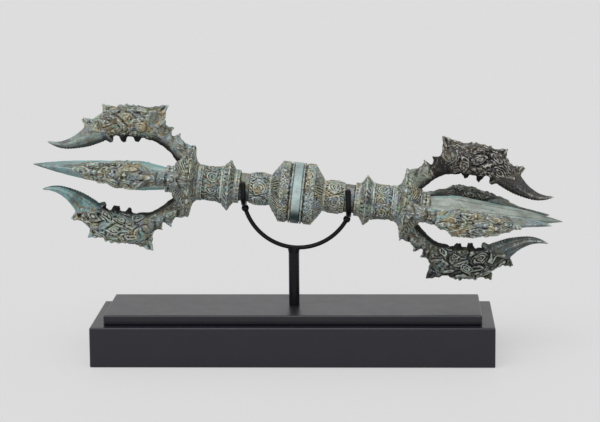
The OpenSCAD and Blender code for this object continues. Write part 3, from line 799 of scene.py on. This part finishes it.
def head_carving(at, shade, depth):
    """Leaves with lines on a head, its eye, jaw, cheek and mouth: the height, the leaves' and the lines'
    own heights, where hollows are deep, and which lines stay light on a dark head."""
    u, w, head = at.u, at.w, at.head
    eye = np.hypot((u - EYE_MARK[0]) / EYE_STRETCH, w - EYE_MARK[1] - EYE_SLANT * (u - EYE_MARK[0]))
    jaw_u, jaw_w = (u - JAW_MARK[0]) / JAW_STRETCH, w - JAW_MARK[1]
    jaw = np.hypot(jaw_u, jaw_w)
    on_eye = ramp(eye, EYE_R, EYE_R - BORDER_W)
    on_jaw = ramp(jaw, JAW_R, JAW_R - BORDER_W)

    seeds = scattered(LEAF_LOW, LEAF_HIGH, LEAF_SPACING, at.seed)
    border, field = panels(u + LEAF_SLANT * w, w, seeds, LEAF_STRETCH)
    jaw_coil = lined(jaw / JAW_PITCH + np.arctan2(jaw_w, jaw_u) / TAU)
    lines = lined(field + 0.35 * at.lumps(5, 3), PRONG_LINE_POWER)
    lines = lines + 0.5 * on_jaw * (jaw_coil - lines)
    lines = lines + 0.6 * on_eye * (lined(eye / PRONG_PITCH, PRONG_LINE_POWER) - lines)
    leaf = 1 - np.exp(-border / LEAF_EDGE)
    dome = np.maximum.reduce([leaf, 0.6 * on_jaw, 0.8 * on_eye])

    carved = head * ramp(at.ear, 0.8, 1.15) * (1 - at.spurs)
    deep = carved * ramp(at.lumps(6.5, 13), 0.2, 0.55) * (1 - on_jaw)
    crest = carved * ramp(lines, 0.45, 0.8) * ramp(dome, 0.1, 0.5) * ramp(shade, 0.95, 0.85)
    fine = 0.7 + 0.5 * ramp(at.lumps(8, 14), -0.4, 0.4)
    height = carved * (DOME_H * (dome - 0.75) + LINE_H * fine * (lines - 0.55)) - HOLLOW_H * deep
    height *= depth
    from_cheek = from_line(u, w, HORN_MARK, CHEEK_MARK)
    height += head * (0.9 * ridge(from_cheek, 1.1) - 0.6 * ridge(from_cheek - 2.6, 0.8))
    height -= head * (0.45 * ridge(eye - SOCKET_R, 0.6) + 0.25 * ridge(jaw - SOCKET_R, 0.6))
    height -= head * 0.7 * ridge(from_line(u, w, MOUTH_MARK, JAW_MARK), 0.7) * (1 - on_jaw)
    return height, leaf, lines, deep, crest


def ear_carving(at):
    """A hollow ear with a rim and rays, and lines across the spurs: the height."""
    height = 0.35 * at.spurs * (np.cos(TAU * at.along / SPUR_PITCH + 2 * at.lumps(6, 15)) - 0.4)
    height += 0.7 * ridge(at.ear - 1.15, 0.14) * ramp(at.turn, -0.1, 0.2)
    height -= 1.5 * ramp(at.ear, 1.05, 0.3)
    rays = np.cos(TAU * np.arctan2(at.u - EAR_MARK[0], at.w - EAR_ROOT) * EAR_RAYS)
    return height + 0.25 * ramp(at.ear, 1.0, 0.7) * (rays - 0.5)


def trunk_carving(at, leaf, lines, trunk_shade):
    """Folds, leaves and scalloped edges on a trunk: the height, the folds and the edges."""
    fold = at.streaks(4.5, 6)
    height = at.trunk * (0.5 * fold + 0.3 * (veins(at.points, 6, at.seed + 12) - 0.4))
    height += at.trunk * (1 - trunk_shade) * (0.9 * (leaf - 0.75) + 0.35 * (lines - 0.55))
    slant = at.t + 0.5 * (1 - at.turn)
    edges = sum(ridge(slant - place, wide) for place, wide in SCALLOPS)
    return height - 1.1 * edges * ramp(at.turn, -0.1, 0.6), fold, edges


def claw_carving(at):
    """Two grooves along each flank of a claw, and nicks on its inner edge: the height."""
    groove = ridge(at.turn + 0.28, 0.06) + ridge(at.turn - 0.3, 0.06)
    nicks = ridge(at.turn + 0.9, 0.18) * (0.5 + 0.5 * np.cos(TAU * at.along / NICK_PITCH))
    return -at.claw * ramp(at.t, 12.4, 10.5) * (0.22 * groove + 0.45 * nicks)


def prong_casting(at):
    """An uneven skin with small pits, smoother on the claw and the spurs: the height."""
    rough = (1 - at.claw) * (1 - 0.6 * at.spurs)
    height = (0.08 + 0.08 * rough) * at.lumps(2.0, 7) + (0.03 + 0.04 * rough) * at.lumps(1.2, 8)
    return height - (0.06 + 0.12 * rough) * ramp(at.lumps(1.7, 9), 0.35, 0.7)


def carved_prong(base, seed, shade, trunk_shade, foot_tint, head_tint, claw_tint, depth):
    """A prong with its carving: the skin, and how dark, how green and how calm it is."""
    surface = Surface(*base)
    surface.points = surface.smoothed(surface.points, SKIN_ROUNDS)
    at = ProngPlaces(surface.points, seed)
    height, leaf, lines, deep, crest = head_carving(at, shade, depth)
    trunk_height, fold, edges = trunk_carving(at, leaf, lines, trunk_shade)
    height += trunk_height + ear_carving(at) + claw_carving(at) + prong_casting(at)
    surface.carve(height)

    head, trunk, claw, turn = at.head, at.trunk, at.claw, at.turn
    in_ear = ramp(at.ear, 1.1, 0.6)
    foot = ramp(at.t + 0.5 * at.lumps(8, 16), 1.9, 1.0)
    # The head's and trunk's darkness from the shade values is partly painted shade on the right bottom and back
    # prongs; it is lifted on the ear, the lines' crests, the claw and the foot.
    dark = (shade + (trunk_shade - shade) * trunk) * (1 - foot)
    dark *= (1 - 0.75 * in_ear) * (1 - 0.9 * crest) * (1 - 0.35 * claw)
    # The inside faces and the claw's inner edge are darkened partly as darker patina and partly as painted shade;
    # the claw's streaks and the deep hollows are darker patina; the scalloped edges are partly patina and partly
    # painted shade in their grooves; the valleys of the trunk's folds are painted shade.
    inner = np.maximum.reduce([
        dark,
        (1 - claw) * ramp(turn - 0.25 * trunk, -0.35, -0.8),
        0.8 * claw * ramp(turn, -0.3, -0.6),
        0.3 * claw * ramp(at.streaks(1.3, 17), 0.0, 0.6),
        0.5 * depth * deep,
        0.55 * edges * ramp(turn, -0.1, 0.4),
        0.6 * trunk * ramp(fold, 0.0, -0.6),
    ])
    tint = claw_tint * claw + head_tint * head + foot_tint * foot
    # Verdigris on the tops of the trunk's folds and leaves, partly standing in for a painted highlight on them.
    tint += 0.26 * (1 - trunk_shade) * trunk * ramp(fold + leaf, 0.4, 1.1)
    tint += 0.16 * in_ear + 0.08 * at.spurs
    return surface, inner, tint, np.maximum(0.9 * claw, 0.6 * trunk)


prong_base = fused(prong_shells(), PRONG_GRAIN)
for k, ((side, place), (degrees, *looks, wear)) in enumerate(PRONGS.items()):
    dark = (side, place) == DARK_PRONG
    surface, *tones = carved_prong(prong_base, 100 * (k // 4) + 10 * (k % 4) + 7, *looks)
    add(f"prong_{side}_{place}", surface, CLOCK[side] + math.radians(degrees),
        dark_bronze if dark else bronze, "dark_patina" if dark else "patina_bronze", *tones, wear)


# Handle

END_GRAIN, BORE_GRAIN = 1.5, 3  # spacing of points on a turned piece's ends and along its bore
CORNER_ROUNDS = 2  # rounds of softening of its corners
EDGE_ROWS = 3  # rows of points over which its ornament fades out


def fine_line(corners, step):
    """A line through corners with points about a step apart."""
    parts = []
    for a, b in zip(corners[:-1], corners[1:]):
        count = max(2, math.ceil(math.dist(a, b) / step) + 1)
        parts.append(np.linspace(a, b, count)[:-1])
    return np.concatenate([*parts, [corners[-1]]])


def softened(line, rounds):
    """The line with its corners rounded a little; its ends stay."""
    for _ in range(rounds):
        line = line.copy()
        line[1:-1] = (line[:-2] + 2 * line[1:-1] + line[2:]) / 4
    return line


def turned(corners, ornament, bore=BORE_R):
    """A turned piece from its outer line of places along the axis and radii, with ornament on it.

    ornament takes points and their places along, radii and angles, and gives their heights.
    """
    outer = softened(fine_line(corners, GRAIN), CORNER_ROUNDS)
    ends = [(outer[-1][0], bore), (outer[0][0], bore)]
    far_end = fine_line([outer[-1], ends[0]], END_GRAIN)[1:]
    near_end = fine_line([ends[1], outer[0]], END_GRAIN)[1:-1]
    line = np.concatenate([outer, far_end, fine_line(ends, BORE_GRAIN)[1:], near_end])
    count = math.ceil(TAU * line[:, 1].max() / GRAIN)
    phi = np.arange(count) * TAU / count
    slope = np.gradient(outer, axis=0)
    normal = np.stack([-slope[:, 1], slope[:, 0]], 1) / np.linalg.norm(slope, axis=1)[:, None]
    z, r = np.repeat(outer, count, 0).T
    angle = np.tile(phi, len(outer))
    height = ornament(np.stack([r * np.cos(angle), r * np.sin(angle), z], 1), z, r, angle)
    height = height.reshape(len(outer), count)
    inset = np.minimum(np.arange(len(outer)), np.arange(len(outer))[::-1])
    height = height * np.clip(inset / EDGE_ROWS, 0, 1)[:, None]
    all_z = np.repeat(line[:, :1], count, 1)
    all_r = np.repeat(line[:, 1:], count, 1)
    all_z[:len(outer)] += height * normal[:, :1]
    all_r[:len(outer)] += height * normal[:, 1:]
    points = np.stack([all_r * np.cos(phi), all_r * np.sin(phi), all_z], -1).reshape(-1, 3)
    return Surface(points, faces_between(len(line), count, len(line)))


def arc_line(start, end, bulge, steps=10):
    """Corners from start to end, standing out by bulge in the middle."""
    f = np.linspace(0, 1, steps)
    line = np.outer(1 - f, start) + np.outer(f, end)
    line[:, 1] += bulge * np.sin(math.pi * f)
    return line.tolist()


def worn(p, seed, depth=0.14):
    """Uneven casting: low lumps, winding ridges and small pits."""
    return (1.3 * depth * lumps(p, 2.4, seed) + depth * lumps(p, 1.3, seed + 1)
            + 2 * depth * (veins(p, 3.6, seed + 3) - 0.4)
            - 2 * depth * ramp(lumps(p, 1.7, seed + 2), 0.35, 0.7))


def kept(p, seed):
    """How much of an ornament is left by wear, from about 0.3 to 1."""
    return 0.3 + 0.7 * ramp(lumps(p, 7, seed), -0.45, 0.35)


def ring_scrolls(p, z, phi, count, z_low, z_high, radius):
    """Scrollwork in a band round the axis, the same in each of count mirrored sectors."""
    sector = TAU / count
    w = np.abs((phi / sector) % 1 - 0.5) * sector * radius
    high = z_high - z_low
    wide = sector * radius / 2
    seeds = np.array([[z_low + 0.3 * high, 0.15 * wide, 1.0], [z_low + 0.75 * high, 0.5 * wide, 0.9],
                      [z_low + 0.25 * high, 0.9 * wide, 1.15]])
    return scrolls(z + 0.7 * lumps(p, 4, 35), w + 0.7 * lumps(p, 4, 36), seeds)


def whirl_places(p, z, phi, count, radius, middle, sway, size, seed):
    """Swaying places across and along count sectors round the axis, from the middle of each."""
    across = ((phi * count / TAU) % 1 - 0.5) * TAU * radius / count
    return across + sway * lumps(p, size, seed), z - middle + sway * lumps(p, size, seed + 1)


def globe(side):
    z0, z1, r1 = axial(f"globe_{side}")
    lobe_z, lobe_l = z0 + 2 * FILLET_W, (z1 - z0 - 2 * FILLET_W) / 2
    a = np.radians(np.linspace(0, 160, 12))
    lobe = np.stack([lobe_z + lobe_l * (1 - np.cos(a)) / 2, r1 - FILLET_DEPTH * (1 - np.sin(a))], 1)
    corners = [(z0, r1), (z0 + FILLET_W, r1), (z0 + FILLET_W, r1 - FILLET_DEPTH),
               *lobe.tolist(), (z1, NECK_R)]
    cone_z = lobe[-1][0]

    def ornament(p, z, r, phi):
        coil, gap = ring_scrolls(p, z, phi, GLOBE_SCROLLS, lobe_z, cone_z, r1)
        lobe_part = ramp(z, lobe_z + 0.2, lobe_z + 1) * ramp(z, cone_z + 0.3, cone_z - 0.7)
        cone = ramp(z, cone_z, cone_z + 0.8)
        leaf = petals(phi, (z1 - z) / (z1 - cone_z) * 0.98, GLOBE_PETALS, 2.8)
        carved = lobe_part * (1.1 * (coil - 0.8) - 0.6 * gap) + cone * (leaf - 0.85)
        return carved * kept(p, 33) + worn(p, 31)

    return turned(corners, ornament)


def neck(side):
    z0, z1, _ = axial(f"neck_{side}")
    groove_z, step_z = z0 + NECK_L, z1 - STEP_L
    corners = [*arc_line((z0, NECK_R), (groove_z, NECK_R), NECK_SWELL), (groove_z, GROOVE_R),
               (step_z, GROOVE_R), (step_z, STEP_R), (z1, STEP_R)]

    def ornament(p, z, r, phi):
        barrel = ramp(z, groove_z, groove_z - 0.6)
        w, up = whirl_places(p, z, phi, NECK_WHIRLS, NECK_R, (z0 + groove_z) / 2, 1.7, 4.5, 47)
        d = np.hypot(up, w * 1.05)
        left = kept(p, 46)
        whirl = lined(d / LINE_PITCH - np.arctan2(w, up) / TAU)
        rings = ramp(d, 5.9, 5.3) * (0.25 + left * 0.85 * whirl - 0.4)
        between = ramp(d, 5.3, 5.9) * left * (0.4 * np.cos(TAU * np.abs(w) / 2.2 + z) - 0.5)
        step = ramp(z, step_z, step_z + 0.5)
        rise = np.sin(math.pi * np.clip((z - step_z) / STEP_L, 0, 1))
        beads = 0.35 * (np.abs(np.cos(phi * STEP_BEADS / 2)) - 1) * rise
        height = barrel * (rings + between + worn(p, 41))
        height += step * (beads + worn(p, 44, 0.1))
        return height - 0.5 * ramp(worn(p, 49), 0.0, 0.5) * (1 - barrel) * (1 - step)

    return turned(corners, ornament)


def collar(side):
    z0, z1, r1 = axial(f"collar_{side}")
    f = np.linspace(0, 1, 10)
    rise = np.stack([z0 + (z1 - z0) / 2 * f, STEP_R + (r1 - STEP_R) * f ** 1.5], 1)
    corners = [*rise.tolist(), (z1, DRUM_R + BEAD_R)]

    def ornament(p, z, r, phi):
        leaf = lined((phi * COLLAR_LEAVES + 0.9 * (r - STEP_R)) / TAU)
        flank = ramp(r, STEP_R, STEP_R + 1.5) * ramp(r, r1, r1 - 1.2)
        return flank * 0.95 * (leaf - 0.85) * kept(p, 54) + worn(p, 51)

    return turned(corners, ornament)


def drum(side):
    z0, z1, _ = axial(f"drum_{side}")
    a = np.radians(np.arange(0, 181, 20))
    bead = np.stack([z0 + BEAD_R * (1 - np.cos(a)), DRUM_R + BEAD_R * np.sin(a)], 1)
    top = z1 - 2 * BEAD_R
    corners = [*bead.tolist(), *arc_line((z0 + 2 * BEAD_R, DRUM_R), (z1, DRUM_R), -BEAD_R / 2)[1:]]

    def ornament(p, z, r, phi):
        panel = ramp(z, z0 + 2.6, z0 + 3.4) * ramp(z, top, top - 0.8)
        w, up = whirl_places(p, z, phi, DRUM_WHIRLS, DRUM_R, (z0 + top) / 2, 1.5, 5, 66)
        up = 0.8 * up
        d = np.hypot(up, w)
        ovals = ramp(d, 4.7, 4.1) * lined(d / LINE_PITCH + np.arctan2(w, up) / TAU)
        frame_line = ridge(np.abs(w) - 5.1, 0.45)
        rims = ridge(z - top, 0.5) + ridge(z - z0 - 3, 0.4)
        carved = panel * (0.95 * (ovals - 0.65) + 0.5 * frame_line) * kept(p, 65)
        return carved + 0.3 * rims + worn(p, 61)

    return turned(corners, ornament)


def crown(side):
    z0, z1, r1 = axial(f"crown_{side}")
    rim_z, slope_z = z0 + FLARE_H, z0 + FLARE_H + RIM_T
    a = np.radians(np.linspace(0, 90, 14))
    flare = np.stack([z0 + FLARE_H * np.sin(a), DRUM_R + (r1 - DRUM_R) * (1 - np.cos(a))], 1)
    corners = [*flare.tolist(), (slope_z, r1), (z1, HUB_R)]

    def ornament(p, z, r, phi):
        out = (r - DRUM_R) / (r1 - DRUM_R)
        lobe = 2 * np.abs((phi * CROWN_LOBES / TAU) % 1 - 0.5)
        notch = -2.2 * ramp(lobe, 0.78, 1.0) * ramp(out, 0.55, 0.95)
        under = ramp(z, rim_z + 0.3, rim_z - 0.5)
        layers = lined(3.2 * out - 0.5 * lobe ** 2) - 0.8
        leaf = under * (1.1 * layers - 0.4 * ramp(lobe, 0.85, 1.0)) * ramp(out, 0.02, 0.2)
        front = ramp(z, slope_z, slope_z + 0.8)
        pearls = np.abs(np.cos(phi * CROWN_PEARLS / 2)) * ridge(r - r1 + 3.2, 1.3)
        lines = lined((r - HUB_R) / LINE_PITCH + 0.8 * np.cos(CROWN_LOBES * phi)) - 0.5
        slope = front * (0.9 * pearls - 0.6 + 0.95 * lines * ramp(r, r1 - 4, r1 - 5))
        uneven = 0.6 * (lumps(p, 4.5, 76) - 0.6) * ramp(out, 0.6, 0.95)
        return notch + uneven + (leaf + slope) * kept(p, 75) + worn(p, 71, 0.17)

    return turned(corners, ornament)


def ring(side):
    z0, z1, r1 = axial(f"ring_{side}")
    bead = (z1 - z0) / 4
    a = np.radians(np.arange(0, 181, 15))
    beads = [np.stack([z0 + bead * (k - np.cos(a)), r1 - bead * (1 - np.sin(a))], 1) for k in (1, 3)]

    def ornament(p, z, r, phi):
        return 0.45 * (np.abs(np.cos(phi * RING_BEADS / 2)) - 1) + worn(p, 81)

    return turned(np.concatenate(beads).tolist(), ornament, FOOT_BORE_R)


def band():
    z0, z1, r1 = axial("globe_band")
    edge = FILLET_W / 2
    low = r1 - FILLET_DEPTH
    corners = [(z0, low), (z0 + edge, low), (z0 + edge, r1 - 0.5), (z0 + edge + 0.5, r1),
               (z1 - edge - 0.5, r1), (z1 - edge, r1 - 0.5), (z1 - edge, low), (z1, low)]

    def ornament(p, z, r, phi):
        return 0.5 * worn(p, 91) - 0.25 * ridge(z, 1.6)

    return turned(corners, ornament)


belt = band()
belt_up = (belt.points @ half_turn("globe_band").T)[:, 2]
# Painted shade: the band is darker towards its underside, and a little darker on its top to tone down the light
# that falls there.
belt_painted_shade = np.maximum(0.95 * ramp(belt_up, -6, -15), 0.4 * ramp(belt_up, 6, 15))
add("globe_band", belt, 0, band_bronze, "pale_patina", belt_painted_shade, tint=0.2, kind="worn")
for side in ("left", "right"):
    clocks = {globe: 0, neck: NECK_CLOCK, collar: 0, drum: DRUM_CLOCK, crown: CLOCK[side], ring: 0}
    for make, clock in clocks.items():
        kind = make.__name__
        tones = HANDLE_TONES[side][kind]
        add(f"{kind}_{side}", make(side), clock, bronze, "patina_bronze", *tones, wear=HANDLE_WEAR)


# Spikes

# Place along a spike and half its width, as shares of its length and its greatest half width
SPIKE = np.array([[0, 0.76], [0.1, 0.89], [0.195, 1], [0.31, 0.9], [0.46, 0.76], [0.7, 0.53],
                  [0.87, 0.28], [1, 0.03]])
SPIKE_RINGS, SPIKE_SIDES = 260, 120
SPIKE_TIP_R = 0.4
SPIKE_ROOM = 0.985  # share of the node's width that the edges reach
SPIKE_POWER = 0.94  # 1 gives flat faces, and less gives faces that bulge a little
SPIKE_TINT = {"left": 0.28, "right": 0.0}


def spike(side):
    """The four-edged middle point, with hollow faces near the foot and a smooth skin."""
    _, ring_z1, _ = axial(f"ring_{side}")
    _, tip_z, half_wide = axial(f"spike_{side}")
    t = np.linspace(0, len(SPIKE) - 1, SPIKE_RINGS)
    shares = curve(SPIKE, t)
    z = ring_z1 + shares[:, 0] * (tip_z - ring_z1)
    a = np.arange(SPIKE_SIDES) * TAU / SPIKE_SIDES
    flat = np.abs((a / (TAU / 4) + 0.5) % 1 - 0.5) * TAU / 4
    edge = SPIKE_ROOM / (np.cos(flat) + np.sin(flat)) ** SPIKE_POWER
    r = np.outer(shares[:, 1] * half_wide, edge)
    r[-1] = SPIKE_TIP_R
    rings = np.stack([r * np.cos(a), r * np.sin(a), np.repeat(z[:, None], len(a), 1)], -1)
    surface = Surface(*skin(rings))
    p = surface.points
    angle = np.arctan2(p[:, 1], p[:, 0])
    share = (p[:, 2] - ring_z1) / (tip_z - ring_z1)
    face = np.abs((angle / (TAU / 4)) % 1 - 0.5) * 2
    height = -0.9 * ramp(face, 0.75, 0.2) * ramp(share, 0.26, 0.08)
    border = ridge(face - 0.62, 0.05) * ramp(share, 0.12, 0.2) * ramp(share, 0.9, 0.75)
    height += 0.2 * lumps(p, 5, 95) + 0.1 * lumps(p, 1.8, 96) - 0.3 * border
    height *= ramp(share, 1.0, 0.9)
    surface.carve(height - 0.05)
    streaks = lumps(p * (1, 1, 0.1), 1.8, 97) + 0.5 * lumps(p * (1, 1, 0.25), 4, 98)
    inner = 0.45 * ramp(streaks, 0.0, 0.7) * ramp(share, 0.1, 0.25)
    inner += 0.5 * ramp(share, 0.6, 0.95) + 0.3 * border
    return surface, inner, 0.3 * ramp(face, 0.6, 0.95)


for side in ("left", "right"):
    surface, inner, tint = spike(side)
    tint += SPIKE_TINT[side]
    add(f"spike_{side}", surface, CLOCK[side], spike_bronze, "pale_patina", inner, tint)


# Stand

def black_finish(name, colour, low, high, lump_mm, depth_mm, shine):
    """A black coat with a slightly uneven gloss, faint brush lumps and a little dust."""
    n = Nodes(name)
    dust = n.mix(n.ramp(n.noise(30, 4, 3.0), 0.45, 0.75, 0, 0.35), colour, tuple(c * 1.4 for c in colour))
    roughness = n.ramp(n.noise(12, 4, 5.0), 0.3, 0.7, low, high)
    n.bump(n.noise(lump_mm, 3, 7.0), depth_mm, 0.4)
    return n.finish(dust, roughness, Specular_IOR_Level=shine)


def bare_metal(name, colour):
    n = Nodes(name)
    shade = n.mix(n.ramp(n.noise(3, 4, 2.0), 0.35, 0.65), colour, tuple(c * 0.75 for c in colour))
    n.bump(n.noise(0.6, 2, 4.0), 0.05, 0.3)
    return n.finish(shade, n.ramp(n.noise(2, 3, 6.0), 0.3, 0.7, 0.25, 0.45), Metallic=1.0)


FINISH = {
    "black_lacquer": black_finish("black_lacquer", (0.008, 0.008, 0.014), 0.34, 0.37, 1.5, 0.015, 0.5),
    "black_wire": black_finish("black_wire", (0.004, 0.004, 0.006), 0.24, 0.34, 1.2, 0.06, 0.22),
    "steel": bare_metal("steel", (0.55, 0.55, 0.56)),
    "bare_bronze": bare_metal("bare_bronze", (0.45, 0.33, 0.19)),
}
for part in frame["record"]["subparts"]:
    node = frame["nodes"][part["node"]]
    if part["material_slot"] in FINISH and not node.hide_render:
        node.data.materials.clear()
        node.data.materials.append(FINISH[part["material_slot"]])


# Stage, light and camera

PAPER = 0.728  # grey of the floor and of the backdrop
FLOOR_HALF = 15.0  # half the floor's width, in metres
FLOOR_GAP = 0.0002  # how far it lies under the base, in metres
SHADOW_FILL = 0.62  # share of the floor's own brightness that shadows leave as it is
AMBIENT = 0.60
SUN = 1.42
SUN_SPREAD = math.radians(50)
SUN_TURN = (math.radians(30), math.radians(-10), 0)


def paper_floor():
    """Pale paper. Seen by the camera, part of its brightness is its own, so that shadows stay faint."""
    n = Nodes("floor_paper")
    grey = n.mix(n.ramp(n.noise(400, 2, 1.0), 0.3, 0.7), (PAPER,) * 3, (PAPER * 0.995,) * 3)
    own = n.ramp(n.new("LightPath").outputs["Is Camera Ray"], 0, 1, 0, SHADOW_FILL)
    glow = n.new("Emission", Color=grey)
    both = n.new("MixShader", Fac=own)
    n.link(n.shader.outputs["BSDF"], both.inputs[1])
    n.link(glow.outputs["Emission"], both.inputs[2])
    n.link(both.outputs["Shader"], n.tree.nodes["Material Output"].inputs["Surface"])
    return n.finish(grey, n.ramp(n.noise(300, 2, 2.0), 0.3, 0.7, 0.55, 0.6), Specular_IOR_Level=0.25)


floor_corners = FLOOR_HALF * np.array([[-1, -1, 0], [1, -1, 0], [1, 1, 0], [-1, 1, 0]])
floor = bpy.data.objects.new("floor", as_mesh("floor", floor_corners, [[0, 1, 2, 3]]))
floor.data.materials.append(paper_floor())
floor.location.z = cad_box[0][2] - FLOOR_GAP
scene.collection.objects.link(floor)

world = bpy.data.worlds.new("studio")
scene.world = world
world.use_nodes = True
sky = Tree(world.node_tree)
path = sky.new("LightPath").outputs
seen = sky.joined("MAXIMUM", path["Is Camera Ray"], path["Is Glossy Ray"])
level = sky.new("MapRange", Value=seen, To_Min=AMBIENT, To_Max=PAPER)
sky.fill(sky.tree.nodes["Background"], Strength=level.outputs["Result"], Color=(1, 1, 1, 1))

key = bpy.data.objects.new("key", bpy.data.lights.new("key", "SUN"))
key.data.energy = SUN
key.data.angle = SUN_SPREAD
key.rotation_euler = SUN_TURN
scene.collection.objects.link(key)

CAMERA_PITCH = math.radians(9.3646)
CAMERA_YAW = math.radians(2.3379)
CAMERA_ROLL = math.radians(-0.4686)
CAMERA_PLACE = (0.07487, -1.71470, 0.39222)
FOCAL_PIXELS, IMAGE_WIDTH = 2312, 600

camera = bpy.data.objects.new("camera", bpy.data.cameras.new("camera"))
camera.data.sensor_width = 36
camera.data.lens = FOCAL_PIXELS / IMAGE_WIDTH * camera.data.sensor_width
camera.matrix_world = (Matrix.Translation(CAMERA_PLACE) @ Matrix.Rotation(CAMERA_YAW, 4, "Z")
                       @ Matrix.Rotation(math.pi / 2 - CAMERA_PITCH, 4, "X")
                       @ Matrix.Rotation(CAMERA_ROLL, 4, "Z"))
scene.collection.objects.link(camera)
scene.camera = camera
scene.view_settings.view_transform = "Standard"

bpy.context.view_layer.update()
